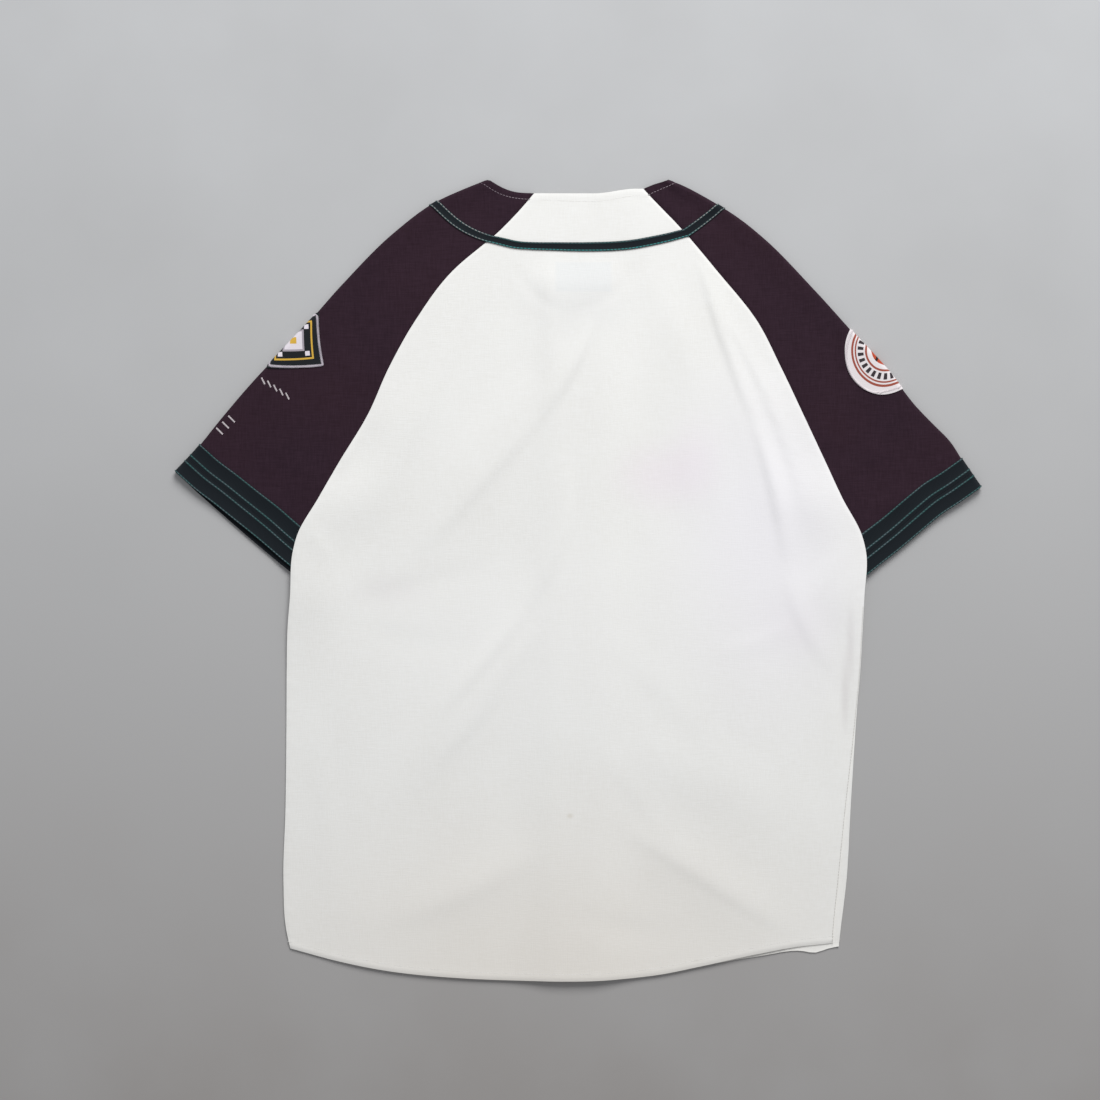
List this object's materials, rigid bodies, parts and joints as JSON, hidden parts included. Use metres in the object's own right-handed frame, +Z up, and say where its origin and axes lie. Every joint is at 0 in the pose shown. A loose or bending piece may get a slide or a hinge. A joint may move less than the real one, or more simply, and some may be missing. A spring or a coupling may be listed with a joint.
{
  "type": "baseball jersey",
  "caption": "Short-sleeved raglan baseball jersey lying face down and flat: cotton body, dark sleeves to the neck, braid round the neck and cuffs, buttoned front underneath.",
  "frame": {"origin": "under the middle of the bounding box, on the plane of the ground", "axes": "+X to the right and +Y towards the neck as seen from above, +Z up; the back is uppermost and the fronts lie on the ground"},
  "size_m": [0.8055, 0.8001, 0.0087],
  "materials": {
    "body_cloth": "off-white cotton, plain weave, matt",
    "sleeve_cloth": "dark aubergine cotton twill, matt",
    "braid": "black knitted braid with teal edges",
    "patch_felt": "white felt, embroidered",
    "badge_felt": "black felt, embroidered",
    "button": "pearly white"
  },
  "bodies": {
    "root": {"back": "body_cloth", "front_left": "body_cloth", "front_right": "body_cloth", "placket": "body_cloth", "sleeve_left": "sleeve_cloth", "sleeve_right": "sleeve_cloth", "neck_tape": "braid", "cuff_tape_left_lower": "braid", "cuff_tape_left_upper": "braid", "cuff_tape_right_lower": "braid", "cuff_tape_right_upper": "braid", "patch_right": "patch_felt", "badge_left": "badge_felt", "button_1": "button", "button_2": "button", "button_3": "button", "button_4": "button", "button_5": "button", "button_6": "button", "button_7": "button"}
  },
  "joints": []
}
